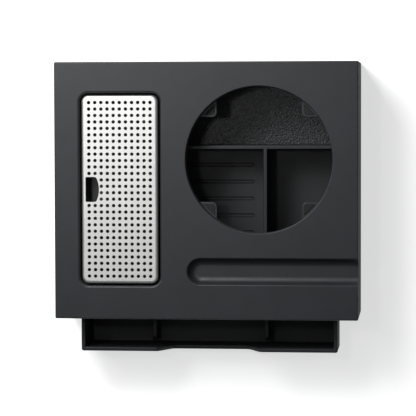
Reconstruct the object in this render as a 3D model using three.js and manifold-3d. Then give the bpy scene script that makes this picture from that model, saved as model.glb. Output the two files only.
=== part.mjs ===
// A countertop drinks station: a low box with a perforated drip grid over a lift-out drip pan, a round seat
// for an appliance base, a channel for spoons that runs out through the right side, and a drawer underneath.
// Millimetres, +Z up, +Y towards the back. The origin is on the table, in the middle of the whole footprint
// with the drawer standing a little open, as it does at rest.
import * as THREE from "three";
import { mergeVertices } from "three/addons/utils/BufferGeometryUtils.js";
import Module from "manifold-3d";

const wasm = await Module();
wasm.setup();

// ---- Driving dimensions ----

const BODY = { width: 305, depth: 258, height: 90, wall: 3, corner: 1.5, edge: 1 };
const GAP = 0.3; // between pieces that touch
const LAP = 1; // how far a solid runs into one that it joins, or past one that it cuts
const LEAST_ROUND = 0.4; // the smallest corner radius that a drawn-in outline keeps
const SLIVER = 0.05; // keeps the two corners of a rounded end apart
const FOOT = { height: 3, radius: 8, inset: 21, stem: 2.6, stemLength: 2.4 };
const BASE = { thickness: 3, fit: 0.5, corner: 2 };
const WELL = { width: 81, length: 193, corner: 9, depth: 17.5, wall: 2.5, rim: 2.5, behindMiddle: 1.2 };
const PAN = { clearance: 5, corner: 6, wall: 1.8, floor: 1.8, draft: 1.2, floorRound: 3 };
const GRID = { clearance: 2, proud: 0.4, sheet: 1, skirt: 6, round: 3, corner: 7 };
const HOLES = { columns: 11, rows: 28, pitchX: 6.2, pitchY: 6.45, radius: 1.7, sides: 6 };
const FINGER = { fromEdge: 4, width: 13.5, length: 25, bulge: 3 };
const SEAT = { diameter: 146.5, collar: 2.5, drop: 9.5, share: 0.288 };
const TAB = { reach: 30.75, corner: 5, thickness: 3, padBorder: 2, padHeight: 1.4, padRecess: 0.6 };
const CHANNEL = { width: 25.5, length: 170.5, depth: 8.5, round: 7.5, wall: 2.5, rim: 1.5, share: 0.3 };
const DRAWER = {
  sideRoom: 18.7, // between the housing wall and the drawer, for the runner and the screw posts
  rearRoom: 48.2, // what the drawer is shorter than the body
  headroom: 11, // between the underside of the well and the drawer's rim
  open: 36, // how far it stands out at rest
  gap: 1.5, // round the drawer in the housing's front
  wall: 4,
  floor: 2.5,
  floorRound: 2,
  corner: 1.5,
  kept: 64.8, // what stays inside the housing when it is pulled to its stop
};
const DIVIDER = { apart: 115.5, thickness: 4, dip: 19, slope: 34, flat: 10, frontGap: 5, frontRound: 6 };
const FINGER_DIP = { width: 108, depth: 25, shoulder: 18 };
const FLOOR_GROOVE = { count: 9, pitch: 17.5, first: 17, length: 85.4, width: 3.4, depth: 1 };
const FLANGE = { width: 4, height: 2, setback: 2 };
const NIB = { reach: 6, length: 10, height: 8, drop: 6 };
const RUNNER = { play: 0.6, wall: 2.4, lip: 2, floor: 1, start: 18, stop: 3 };
const EAR = { length: 14, thickness: 2.4, frontShare: 0.2, backShare: 0.8 };
const POST = { radius: 4, fromWall: 6, bore: 1.4, boreDepth: 12 };
const SCREW = {
  shank: 1.25,
  length: 11,
  head: 3.2,
  headHeight: 1.6,
  clearance: 0.4, // round the shank and the head in the base plate
  slot: 0.8,
  slotDepth: 0.6,
  slotReach: 0.65, // as a share of the head's radius
  pilotFloor: 0.6, // what is left of the base plate under a pilot hole
  tipRoom: 0.8, // between a screw's tip and the end of its pilot hole
};
const CABLE = { width: 14, height: 11 };

// ---- Levels and places that follow from them ----

const halfWidth = BODY.width / 2;
const backY = (BODY.depth + DRAWER.open) / 2;
const frontY = backY - BODY.depth;
const middleY = (backY + frontY) / 2;
const innerX = halfWidth - BODY.wall;
const topZ = BODY.height;
const panelZ = topZ - BODY.wall; // underside of the top panel
const baseZ = FOOT.height; // underside of the base plate and of the housing's walls
const floorZ = baseZ + BASE.thickness; // textured upper face of the base plate

// The well and the seat share the width with three equal margins.
const margin = (BODY.width - WELL.width - SEAT.diameter) / 3;
const wellX = -halfWidth + margin + WELL.width / 2;
const wellFloorZ = topZ - WELL.depth;
const seatX = halfWidth - margin - SEAT.diameter / 2;
const wellY = middleY + WELL.behindMiddle;
// The seat has its share of the free depth behind it, the channel has its own, and the rest is at the front.
const freeDepth = BODY.depth - SEAT.diameter - CHANNEL.width;
const seatY = backY - SEAT.share * freeDepth - SEAT.diameter / 2;
const channelY = seatY - SEAT.diameter / 2 - CHANNEL.share * freeDepth - CHANNEL.width / 2;
const seatZ = topZ - SEAT.drop; // upper face of the four tabs
const seatRadius = SEAT.diameter / 2;

const drawerWidth = BODY.width - 2 * (BODY.wall + DRAWER.sideRoom);
const drawerLength = BODY.depth - DRAWER.rearRoom;
const drawerFrontY = frontY - DRAWER.open;
const drawerBackY = drawerFrontY + drawerLength;
const drawerMiddleY = (drawerFrontY + drawerBackY) / 2;
const runnerTopZ = floorZ + GAP + RUNNER.floor;
const drawerZ = runnerTopZ + GAP;
const rimZ = wellFloorZ - WELL.wall - DRAWER.headroom;

const postX = innerX - POST.fromWall;
const postRows = [frontY + BODY.wall + POST.fromWall, middleY, backY - BODY.wall - POST.fromWall];
const postSpots = [-1, 1].flatMap((side) => postRows.map((y) => [side * postX, y]));

const railX = drawerWidth / 2 + FLANGE.width + RUNNER.play; // inner face of a runner's upright
const runnerFrontY = frontY + RUNNER.start;
const runnerBackY = drawerBackY + DRAWER.open + GAP + RUNNER.stop;
const runnerLength = runnerBackY - runnerFrontY;
const earRows = [EAR.frontShare, EAR.backShare].map((share) => runnerFrontY + share * runnerLength);
const earX = (railX + RUNNER.wall + innerX) / 2;
const pilotZ = baseZ + SCREW.pilotFloor;

// ---- Materials ----

const plastic = (color, roughness) =>
  new THREE.MeshStandardMaterial({ color, roughness, metalness: 0 });
const HOUSING_BLACK = plastic(0x3a3b3e, 0.5);
const DRAWER_BLACK = plastic(0x2d2e30, 0.5);
const PAN_BLACK = plastic(0x26272a, 0.45);
const GRAINED_BLACK = plastic(0x2a2b2d, 0.6);
const RUNNER_GREY = plastic(0x46484b, 0.4);
const RUBBER = plastic(0x1c1c1d, 0.9);
const STAINLESS = new THREE.MeshStandardMaterial({ color: 0xd6d6d4, roughness: 0.35, metalness: 1 });
const ZINC = new THREE.MeshStandardMaterial({ color: 0xb4b8bb, roughness: 0.35, metalness: 1 });

// ---- Solids ----

// A closed geometry as a manifold-3d solid.
function solid(geometry) {
  const bare = geometry.index ? geometry.toNonIndexed() : geometry.clone();
  for (const name of Object.keys(bare.attributes)) {
    if (name !== "position") bare.deleteAttribute(name);
  }
  const merged = mergeVertices(bare, 1e-4);
  return new wasm.Manifold(
    new wasm.Mesh({
      numProp: 3,
      vertProperties: merged.attributes.position.array,
      triVerts: new Uint32Array(merged.index.array),
    }),
  );
}

const joined = (first, ...others) => others.reduce((whole, other) => whole.add(other), first);
const cutBy = (first, ...others) => others.reduce((whole, other) => whole.subtract(other), first);

function box(low, high) {
  const size = high.map((v, i) => v - low[i]);
  const centre = high.map((v, i) => (v + low[i]) / 2);
  return solid(new THREE.BoxGeometry(...size).translate(...centre));
}

function cylinder(radius, x, y, z0, z1, sides = 24) {
  const geometry = new THREE.CylinderGeometry(radius, radius, z1 - z0, sides);
  return solid(geometry.rotateX(Math.PI / 2).translate(x, y, (z0 + z1) / 2));
}

function extruded(shape, z0, z1, segments = 12) {
  const settings = { depth: z1 - z0, bevelEnabled: false, curveSegments: segments };
  return new THREE.ExtrudeGeometry(shape, settings).translate(0, 0, z0);
}

// The points of a rectangle with rounded corners, anticlockwise.
function roundedLoop({ w, d, r, x = 0, y = 0, z }, steps) {
  const points = [];
  for (let corner = 0; corner < 4; corner++) {
    const sx = corner === 0 || corner === 3 ? 1 : -1;
    const sy = corner < 2 ? 1 : -1;
    for (let step = 0; step <= steps; step++) {
      const angle = ((corner + step / steps) * Math.PI) / 2;
      points.push([
        x + sx * (w / 2 - r) + r * Math.cos(angle),
        y + sy * (d / 2 - r) + r * Math.sin(angle),
        z,
      ]);
    }
  }
  return points;
}

// A skin over a stack of rounded rectangles, the first and the last of them capped. A stack that comes back
// down inside itself makes a tray.
function stacked(sections, steps = 6) {
  const loops = sections.map((section) => roundedLoop(section, steps));
  const count = loops[0].length;
  const positions = loops.flat(2);
  const index = [];
  for (let ring = 0; ring + 1 < loops.length; ring++) {
    for (let i = 0; i < count; i++) {
      const a = ring * count + i;
      const b = ring * count + ((i + 1) % count);
      index.push(a, b, b + count, a, b + count, a + count);
    }
  }
  const last = (loops.length - 1) * count;
  for (let i = 1; i + 1 < count; i++) {
    index.push(0, i + 1, i);
    index.push(last, last + i, last + i + 1);
  }
  const geometry = new THREE.BufferGeometry();
  geometry.setAttribute("position", new THREE.Float32BufferAttribute(positions, 3));
  geometry.setIndex(index);
  return solid(geometry);
}

// A stack's sections from [inset, z] pairs, each inset taken off every side of one rounded rectangle.
function inset(plan, pairs) {
  return pairs.map(([off, z]) => ({
    ...plan,
    w: plan.w - 2 * off,
    d: plan.d - 2 * off,
    r: Math.max(plan.r - off, LEAST_ROUND),
    z,
  }));
}

// [inset, z] pairs round a quarter turn, from one angle to another, of a fillet about a centre.
function quarter(centreInset, centreZ, radius, from, to, steps = 4) {
  return Array.from({ length: steps + 1 }, (_, i) => {
    const angle = THREE.MathUtils.degToRad(from + ((to - from) * i) / steps);
    return [centreInset + radius * Math.cos(angle), centreZ + radius * Math.sin(angle)];
  });
}

// A shape in Y and Z, given as a THREE.Shape in x and y, spread over a span of X.
function extrudedAlongX(shape, x0, x1) {
  const geometry = extruded(shape, 0, x1 - x0);
  const turned = new THREE.Matrix4().set(0, 0, 1, x0, 1, 0, 0, 0, 0, 1, 0, 0, 0, 0, 0, 1);
  return solid(geometry.applyMatrix4(turned));
}

// A shape in X and Z, given as a THREE.Shape in x and y, spread over a span of Y.
function extrudedAlongY(shape, y0, y1) {
  const geometry = extruded(shape, 0, y1 - y0);
  const turned = new THREE.Matrix4().set(1, 0, 0, 0, 0, 0, -1, y1, 0, 1, 0, 0, 0, 0, 0, 1);
  return solid(geometry.applyMatrix4(turned));
}

// ---- The round seat: four corner tabs left between a circle and two crossing channels ----

// One tab's outline in the first quarter, drawn in by a border.
function tabShape(outerRadius, border) {
  const r = outerRadius - border;
  const line = seatRadius - TAB.reach + border;
  const round = Math.max(TAB.corner - border, LEAST_ROUND);
  const end = Math.acos(line / r);
  const shape = new THREE.Shape();
  shape.absarc(0, 0, r, Math.PI / 2 - end, end, false);
  shape.lineTo(line, line + round);
  shape.absarc(line + round, line + round, round, Math.PI, 1.5 * Math.PI, false);
  return shape;
}

// What the tab shape gives between two levels, turned into each of the four quarters.
function tabSolids(outerRadius, border, z0, z1) {
  return [0, 1, 2, 3].map((quarterTurn) => {
    const geometry = extruded(tabShape(outerRadius, border), z0, z1, 8);
    return solid(geometry.rotateZ((quarterTurn * Math.PI) / 2).translate(seatX, seatY, 0));
  });
}

// ---- Pieces ----

function housing() {
  const outer = { w: BODY.width, d: BODY.depth, r: BODY.corner, y: middleY };
  const shell = stacked(inset(outer, [[0, baseZ], [0, topZ - BODY.edge], [BODY.edge, topZ]]), 3);
  const hollow = stacked(inset(outer, [[BODY.wall, baseZ - LAP], [BODY.wall, panelZ]]), 3);

  const well = { w: WELL.width, d: WELL.length, r: WELL.corner, x: wellX, y: wellY };
  const wellBody = stacked(
    inset(well, [[-WELL.wall, wellFloorZ - WELL.wall], [-WELL.wall, panelZ + LAP]]),
  );
  const wellCut = stacked(
    inset(well, [
      [0, wellFloorZ],
      ...quarter(-WELL.rim, topZ - WELL.rim, WELL.rim, 0, 90),
      [-WELL.rim, topZ + LAP],
    ]),
  );

  // The channel runs on past the right side, which it cuts through.
  const run = CHANNEL.length + CHANNEL.width;
  const channel = {
    w: run,
    d: CHANNEL.width,
    r: CHANNEL.width / 2,
    x: halfWidth - CHANNEL.length + run / 2,
    y: channelY,
  };
  const channelZ = topZ - CHANNEL.depth;
  const channelBody = stacked(
    inset(channel, [
      [CHANNEL.round - CHANNEL.wall, channelZ - CHANNEL.wall],
      [-CHANNEL.wall, channelZ + CHANNEL.round - CHANNEL.wall],
      [-CHANNEL.wall, panelZ + LAP],
    ]),
    10,
  ).intersect(box([-halfWidth, frontY, baseZ], [halfWidth, backY, topZ]));
  const channelCut = stacked(
    inset(channel, [
      ...quarter(CHANNEL.round, channelZ + CHANNEL.round, CHANNEL.round, 270, 180, 5),
      ...quarter(-CHANNEL.rim, topZ - CHANNEL.rim, CHANNEL.rim, 0, 90, 3),
      [-CHANNEL.rim, topZ + LAP],
    ]),
    10,
  );

  const tabZ = seatZ - TAB.thickness;
  const collar = cylinder(seatRadius + SEAT.collar, seatX, seatY, tabZ, panelZ + LAP, 96);
  const seatCut = cylinder(seatRadius, seatX, seatY, tabZ - LAP, topZ + LAP, 96);
  const tabs = tabSolids(seatRadius + SEAT.collar / 2, 0, tabZ, seatZ);
  const padRecesses = tabSolids(seatRadius, TAB.padBorder, seatZ - TAB.padRecess, seatZ + LAP);

  const posts = postSpots.map(([x, y]) => cylinder(POST.radius, x, y, floorZ + GAP, panelZ + LAP, 16));
  const bores = postSpots.map(([x, y]) =>
    cylinder(POST.bore, x, y, floorZ - LAP, floorZ + GAP + POST.boreDepth, 12),
  );

  const doorX = drawerWidth / 2 + DRAWER.gap;
  const frontWall = [frontY - LAP, frontY + BODY.wall + LAP];
  const door = box([-doorX, frontWall[0], baseZ - LAP], [doorX, frontWall[1], rimZ + DRAWER.gap]);
  const flangeX = doorX + FLANGE.width;
  const flangeZ = drawerZ + FLANGE.height + DRAWER.gap;
  const flangeWay = box([-flangeX, frontWall[0], baseZ - LAP], [flangeX, frontWall[1], flangeZ]);
  const cable = box(
    [seatX - CABLE.width / 2, backY - BODY.wall - LAP, baseZ - LAP],
    [seatX + CABLE.width / 2, backY + LAP, floorZ + CABLE.height],
  );

  const shellWithFittings = joined(cutBy(shell, hollow), wellBody, channelBody, collar, ...posts);
  const openings = [wellCut, channelCut, seatCut, door, flangeWay, cable];
  const opened = cutBy(shellWithFittings, ...openings, ...bores);
  return cutBy(joined(opened, ...tabs), ...padRecesses);
}

function basePlate() {
  const plan = {
    w: BODY.width - 2 * (BODY.wall + BASE.fit),
    d: BODY.depth - 2 * (BODY.wall + BASE.fit),
    r: BASE.corner,
    y: middleY,
  };
  const plate = stacked(inset(plan, [[0, baseZ], [0, floorZ]]), 4);
  const screwHoles = postSpots.flatMap(([x, y]) => [
    cylinder(SCREW.shank + SCREW.clearance, x, y, baseZ - LAP, floorZ + LAP, 12),
    cylinder(SCREW.head + SCREW.clearance, x, y, baseZ - LAP, baseZ + SCREW.headHeight + GAP, 16),
  ]);
  const earPilots = earSpots().map(([x, y]) => cylinder(POST.bore, x, y, pilotZ, floorZ + LAP, 12));
  const footHoles = footSpots().map(([x, y]) =>
    cylinder(FOOT.stem + GAP, x, y, baseZ - LAP, floorZ + LAP, 12),
  );
  return cutBy(plate, ...screwHoles, ...earPilots, ...footHoles);
}

function footSpots() {
  return [-1, 1].flatMap((side) =>
    [frontY + FOOT.inset, backY - FOOT.inset].map((y) => [side * (halfWidth - 2 * FOOT.inset), y]),
  );
}

function earSpots() {
  return [-1, 1].flatMap((side) => earRows.map((y) => [side * earX, y]));
}

function foot([x, y]) {
  const pad = cylinder(FOOT.radius, x, y, 0, FOOT.height - GAP, 32);
  const stem = cylinder(FOOT.stem, x, y, FOOT.height - GAP - LAP, baseZ + FOOT.stemLength, 16);
  return joined(pad, stem);
}

// A self-tapping screw with its head down, the head's underside at a level.
function screw([x, y], headZ, length) {
  const head = cylinder(SCREW.head, x, y, headZ, headZ + SCREW.headHeight, 16);
  const shank = cylinder(SCREW.shank, x, y, headZ + LAP, headZ + SCREW.headHeight + length, 12);
  const bar = [SCREW.head * SCREW.slotReach, SCREW.slot / 2];
  const slots = [bar, [...bar].reverse()].map(([hx, hy]) =>
    box([x - hx, y - hy, headZ - LAP], [x + hx, y + hy, headZ + SCREW.slotDepth]),
  );
  return cutBy(joined(head, shank), ...slots);
}

// The same screw head up, driven down into the base plate.
function earScrew([x, y]) {
  const seat = floorZ + GAP + EAR.thickness + GAP;
  const turned = screw([0, 0], 0, seat - pilotZ - SCREW.tipRoom).rotate([180, 0, 0]);
  return turned.translate([x, y, seat + SCREW.headHeight]);
}

function dripPan() {
  const plan = {
    w: WELL.width - 2 * PAN.clearance,
    d: WELL.length - 2 * PAN.clearance,
    r: PAN.corner,
    x: wellX,
    y: wellY,
  };
  const z0 = wellFloorZ + GAP;
  const z1 = topZ + GRID.proud - GRID.sheet - GAP;
  const draft = PAN.draft;
  const round = PAN.floorRound;
  return stacked(
    inset(plan, [
      ...quarter(draft + round, z0 + round, round, 270, 180, 3),
      [0, z1],
      [PAN.wall, z1],
      ...quarter(draft + round + PAN.wall, z0 + PAN.floor + round, round, 180, 270, 3),
    ]),
  );
}

function dripGrid() {
  const plan = {
    w: WELL.width - 2 * GRID.clearance,
    d: WELL.length - 2 * GRID.clearance,
    r: GRID.corner,
    x: wellX,
    y: wellY,
  };
  const z1 = topZ + GRID.proud;
  const z0 = z1 - GRID.skirt;
  const { round, sheet } = GRID;
  // From the middle of the underside out to the skirt's foot, up its outside and over the top.
  const sheetBent = stacked(
    inset(plan, [
      ...quarter(round, z1 - round, round - sheet, 90, 180, 3),
      [sheet, z0],
      [0, z0],
      ...quarter(round, z1 - round, round, 180, 90, 4),
    ]),
  );
  return cutBy(sheetBent, gridHoles(z1), fingerHole(plan, z1));
}

// Every round hole as one cutter of many separate prisms.
function gridHoles(z1) {
  const { columns, rows, pitchX, pitchY, radius, sides } = HOLES;
  const fingerHalf = FINGER.length / 2 + radius;
  const fingerReach = -(WELL.width - 2 * GRID.clearance) / 2 + FINGER.fromEdge + FINGER.width + radius;
  const prisms = [];
  for (let row = 0; row < rows; row++) {
    for (let column = 0; column < columns; column++) {
      const x = (column - (columns - 1) / 2) * pitchX;
      const y = (row - (rows - 1) / 2) * pitchY;
      if (x < fingerReach && Math.abs(y) < fingerHalf) continue;
      const prism = new THREE.CylinderGeometry(radius, radius, 4 * GRID.sheet, sides);
      prisms.push(solid(prism.rotateX(Math.PI / 2).translate(wellX + x, wellY + y, z1)));
    }
  }
  return wasm.Manifold.compose(prisms);
}

// The hole a finger lifts the grid by: straight on the outside, bulging on the inside.
function fingerHole(plan, z1) {
  const left = -plan.w / 2 + FINGER.fromEdge;
  const half = FINGER.length / 2;
  const right = left + FINGER.width - FINGER.bulge;
  const shape = new THREE.Shape();
  shape.moveTo(left, half);
  shape.lineTo(left, -half);
  shape.lineTo(right, -half);
  const radius = (half * half + FINGER.bulge * FINGER.bulge) / (2 * FINGER.bulge);
  const turn = Math.asin(half / radius);
  shape.absarc(right + FINGER.bulge - radius, 0, radius, -turn, turn, false);
  const cutter = extruded(shape, z1 - 2 * GRID.sheet, z1 + LAP, 12);
  return solid(cutter.translate(wellX, wellY, 0));
}

function seatPads() {
  const bedZ = seatZ - TAB.padRecess;
  return tabSolids(seatRadius, TAB.padBorder + GAP / 2, bedZ + GAP / 2, bedZ + TAB.padHeight);
}

function drawer() {
  const outer = { w: drawerWidth, d: drawerLength, r: DRAWER.corner, y: drawerMiddleY };
  const innerFloorZ = drawerZ + DRAWER.floor;
  const tray = stacked(
    inset(outer, [
      [0, drawerZ],
      [0, rimZ],
      [DRAWER.wall, rimZ],
      [DRAWER.wall, innerFloorZ + DRAWER.floorRound],
      [DRAWER.wall + DRAWER.floorRound, innerFloorZ],
    ]),
    3,
  );
  const flangeX = drawerWidth / 2 + FLANGE.width;
  const flange = box(
    [-flangeX, frontY + BODY.wall + FLANGE.setback, drawerZ],
    [flangeX, drawerBackY, drawerZ + FLANGE.height],
  );
  const nibX = drawerWidth / 2 + NIB.reach;
  const nibFrontY = drawerBackY - DRAWER.kept;
  const nibs = box(
    [-nibX, nibFrontY, rimZ - NIB.drop - NIB.height],
    [nibX, nibFrontY + NIB.length, rimZ - NIB.drop],
  );
  const inside = box(
    [-drawerWidth / 2 + LAP, drawerFrontY + LAP, innerFloorZ - LAP],
    [drawerWidth / 2 - LAP, drawerBackY - LAP, rimZ + LAP],
  );
  const body = joined(tray, cutBy(flange, inside), cutBy(nibs, inside), ...dividers(innerFloorZ));
  return cutBy(body, fingerDip(), ...floorGrooves(innerFloorZ));
}

// Two partitions, as high as the rim for most of their length and lower before the front wall.
function dividers(floor) {
  const back = drawerBackY - LAP;
  const front = drawerFrontY + DRAWER.wall + DIVIDER.frontGap;
  const low = rimZ - DIVIDER.dip;
  const shape = new THREE.Shape();
  shape.moveTo(back, floor - LAP);
  shape.lineTo(back, rimZ);
  const slopeEnd = front + DIVIDER.frontRound + DIVIDER.flat;
  const slopeStart = slopeEnd + DIVIDER.slope;
  shape.lineTo(slopeStart, rimZ);
  const third = DIVIDER.slope / 3;
  shape.bezierCurveTo(slopeStart - third, rimZ, slopeEnd + third, low, slopeEnd, low);
  const round = DIVIDER.frontRound;
  shape.lineTo(front + round, low);
  shape.absarc(front + round, low - round, round, Math.PI / 2, Math.PI, false);
  shape.lineTo(front, floor - LAP);
  const half = DIVIDER.thickness / 2;
  return [-1, 1].map((side) => {
    const x = (side * DIVIDER.apart) / 2;
    return extrudedAlongX(shape, x - half, x + half);
  });
}

// The dip in the front wall's top edge, with a shoulder that bends both ways at each end.
function fingerDip() {
  const half = FINGER_DIP.width / 2;
  const flat = half - FINGER_DIP.shoulder;
  const bend = FINGER_DIP.shoulder / 2;
  const low = rimZ - FINGER_DIP.depth;
  const shape = new THREE.Shape();
  shape.moveTo(half, rimZ);
  shape.lineTo(half, rimZ + LAP);
  shape.lineTo(-half, rimZ + LAP);
  shape.lineTo(-half, rimZ);
  shape.bezierCurveTo(-half + bend, rimZ, -flat - bend, low, -flat, low);
  shape.lineTo(flat, low);
  shape.bezierCurveTo(flat + bend, low, half - bend, rimZ, half, rimZ);
  return extrudedAlongY(shape, drawerFrontY - LAP, drawerFrontY + DRAWER.wall + LAP);
}

function floorGrooves(floor) {
  const half = FLOOR_GROOVE.width / 2;
  const room = drawerLength - 2 * DRAWER.wall - FLOOR_GROOVE.first - half;
  const count = Math.min(FLOOR_GROOVE.count, 1 + Math.floor(room / FLOOR_GROOVE.pitch));
  return Array.from({ length: count }, (_, i) => {
    const y = drawerBackY - DRAWER.wall - FLOOR_GROOVE.first - i * FLOOR_GROOVE.pitch;
    const plan = { w: FLOOR_GROOVE.length, d: 2 * half, r: half - SLIVER, y };
    return stacked(inset(plan, [[0, floor - FLOOR_GROOVE.depth], [0, floor + LAP]]), 3);
  });
}

// A channel section that the drawer's side flange slides in, with two screw ears and a stop at the back.
function runner(side) {
  const across = (a, b) => [Math.min(side * a, side * b), Math.max(side * a, side * b)];
  const bar = (a, b, y0, y1, z0, z1) => {
    const [x0, x1] = across(a, b);
    return box([x0, y0, z0], [x1, y1, z1]);
  };
  const lipZ = drawerZ + FLANGE.height + RUNNER.play;
  const inX = drawerWidth / 2 + RUNNER.play;
  const outX = railX + RUNNER.wall;
  const z0 = floorZ + GAP;
  const stopY = runnerBackY - RUNNER.stop;
  const pieces = [
    bar(inX, outX, runnerFrontY, runnerBackY, z0, runnerTopZ),
    bar(railX, outX, runnerFrontY, runnerBackY, z0, lipZ + RUNNER.lip),
    bar(inX, outX, runnerFrontY, runnerBackY, lipZ, lipZ + RUNNER.lip),
    bar(inX, outX, stopY, runnerBackY, z0, lipZ + RUNNER.lip),
    ...earRows.map((y) =>
      bar(outX - LAP, innerX - 2 * GAP, y - EAR.length / 2, y + EAR.length / 2, z0, z0 + EAR.thickness),
    ),
  ];
  const holes = earRows.map((y) =>
    cylinder(SCREW.shank + GAP, side * earX, y, z0 - LAP, z0 + EAR.thickness + LAP, 12),
  );
  return cutBy(joined(...pieces), ...holes);
}

// ---- Assembly ----

const station = new THREE.Group();

function place(name, made, material) {
  const { numProp, vertProperties, numVert, triVerts } = made.getMesh();
  const positions = new Float32Array(numVert * 3);
  for (let i = 0; i < numVert; i++) {
    positions.set(vertProperties.subarray(i * numProp, i * numProp + 3), i * 3);
  }
  const geometry = new THREE.BufferGeometry();
  geometry.setAttribute("position", new THREE.BufferAttribute(positions, 3));
  geometry.setIndex(new THREE.BufferAttribute(triVerts, 1));
  geometry.computeVertexNormals();
  const mesh = new THREE.Mesh(geometry, material);
  mesh.name = name;
  station.add(mesh);
}

place("housing", housing(), HOUSING_BLACK);
place("base_plate", basePlate(), GRAINED_BLACK);
place("drawer", drawer(), DRAWER_BLACK);
place("drip_pan", dripPan(), PAN_BLACK);
place("drip_grid", dripGrid(), STAINLESS);
place("runner_left", runner(-1), RUNNER_GREY);
place("runner_right", runner(1), RUNNER_GREY);
seatPads().forEach((pad, i) => place(`seat_pad_${i + 1}`, pad, RUBBER));
footSpots().forEach((spot, i) => place(`foot_${i + 1}`, foot(spot), RUBBER));
postSpots.forEach((spot, i) => place(`base_screw_${i + 1}`, screw(spot, baseZ, SCREW.length), ZINC));
earSpots().forEach((spot, i) => place(`runner_screw_${i + 1}`, earScrew(spot), ZINC));

export default station;
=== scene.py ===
"""A countertop drinks station, dressed for a studio view.

The station is a low black box with a perforated stainless drip grid over a lift-out pan, a round seat for
a kettle's power base, a spoon channel that runs out through the right side, and a divided drawer. Each
sub-assembly is a class that holds its sizes in millimetres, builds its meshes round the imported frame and
dresses them. Each finish is a small frozen class that makes its own material.
"""

from __future__ import annotations

import logging
import math
from abc import ABC, abstractmethod
from collections.abc import Callable, Iterable, Mapping, Sequence
from dataclasses import dataclass, field
from enum import Enum
from typing import Any

import bmesh
import bpy
from mathutils import Matrix, Vector


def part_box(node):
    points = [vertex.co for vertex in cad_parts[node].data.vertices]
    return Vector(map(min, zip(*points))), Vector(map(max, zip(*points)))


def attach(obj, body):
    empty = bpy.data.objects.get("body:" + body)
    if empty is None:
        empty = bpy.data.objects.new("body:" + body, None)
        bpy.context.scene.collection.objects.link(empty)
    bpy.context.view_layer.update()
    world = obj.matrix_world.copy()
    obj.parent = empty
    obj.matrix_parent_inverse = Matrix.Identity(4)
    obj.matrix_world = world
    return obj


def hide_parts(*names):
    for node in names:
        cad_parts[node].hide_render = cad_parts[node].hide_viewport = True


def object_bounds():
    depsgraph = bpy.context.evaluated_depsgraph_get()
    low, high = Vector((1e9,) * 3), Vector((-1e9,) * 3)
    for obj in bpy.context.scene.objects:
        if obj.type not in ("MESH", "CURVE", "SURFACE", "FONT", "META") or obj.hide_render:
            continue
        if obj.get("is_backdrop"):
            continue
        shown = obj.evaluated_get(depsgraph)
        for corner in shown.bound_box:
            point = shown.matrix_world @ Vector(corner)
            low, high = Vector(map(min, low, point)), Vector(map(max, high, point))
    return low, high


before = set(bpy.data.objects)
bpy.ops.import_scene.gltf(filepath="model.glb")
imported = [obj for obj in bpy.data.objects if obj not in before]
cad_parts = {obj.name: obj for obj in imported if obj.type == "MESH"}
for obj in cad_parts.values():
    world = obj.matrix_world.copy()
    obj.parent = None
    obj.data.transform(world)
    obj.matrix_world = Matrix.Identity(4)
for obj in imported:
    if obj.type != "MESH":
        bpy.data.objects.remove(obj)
CAD_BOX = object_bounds()

log = logging.getLogger("station")

MM = 0.001
TOUCH = 0.3  # the gap between pieces that touch, in millimetres
SUNK = 1.0  # how far one solid is sunk into another that it is joined to
MERGE = 0.002  # points that are nearer than this are one point
CREASE = 32.0  # degrees from which an edge stays sharp
FLAT_WEIGHT = 90  # how strongly large faces lead the shading of their edges

Point = tuple[float, float]
Profile = Sequence[Point]  # (growth, level) pairs
Piece = bpy.types.Object
Pieces = dict[str, Piece]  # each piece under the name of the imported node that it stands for
Tree = bpy.types.NodeTree
Socket = bpy.types.NodeSocket
Sockets = Mapping[str | int, Any]  # an input's name or number to its value, or to the output that feeds it


# ---- Colour and nodes ----


def linear(sheet_colour: str) -> tuple[float, float, float, float]:
    """Turns an sRGB hex colour into linear RGBA.

    Args:
        sheet_colour: Six hex digits.

    Returns:
        The linear colour with alpha 1.
    """
    parts = [int(sheet_colour[i : i + 2], 16) / 255 for i in (0, 2, 4)]
    bent = [p / 12.92 if p <= 0.04045 else ((p + 0.055) / 1.055) ** 2.4 for p in parts]
    return bent[0], bent[1], bent[2], 1.0


def add_node(tree: Tree, kind: str, sockets: Sockets | None = None, **settings: Any) -> bpy.types.Node:
    """Adds one shader node with its settings, values and links.

    Args:
        tree: The material's node tree.
        kind: The node's type, without its ShaderNode prefix.
        sockets: The node's values and links.
        settings: Properties of the node itself.

    Returns:
        The new node.
    """
    node = tree.nodes.new("ShaderNode" + kind)
    for name, value in settings.items():
        setattr(node, name, value)
    for name, value in (sockets or {}).items():
        if isinstance(value, Socket):
            tree.links.new(value, node.inputs[name])
        else:
            node.inputs[name].default_value = value
    return node


def per_metre(size_mm: float) -> float:
    """Gives the scale of a pattern whose cells are size_mm wide, for object coordinates in metres."""
    return 1 / (size_mm * MM)


# ---- Finishes ----


@dataclass(frozen=True)
class Finish(ABC):
    """What a real surface is made of and how it was made."""

    name: str
    slot: str

    def material(self) -> bpy.types.Material:
        """Makes the finish's material the first time, and finds it after that.

        Returns:
            The material.
        """
        known = bpy.data.materials.get(self.name)
        if known is not None:
            return known
        made = bpy.data.materials.new(self.name)
        made.use_nodes = True
        tree = made.node_tree
        tree.nodes.clear()
        place = add_node(tree, "TexCoord").outputs["Object"]
        shader = add_node(tree, "BsdfPrincipled", self.lay(tree, place))
        add_node(tree, "OutputMaterial", {"Surface": shader.outputs["BSDF"]})
        return made

    @abstractmethod
    def lay(self, tree: Tree, place: Socket) -> Sockets:
        """Lays the finish's own nodes.

        Args:
            tree: The material's node tree.
            place: The object coordinates.

        Returns:
            What the Principled shader's sockets are given.
        """


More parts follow.
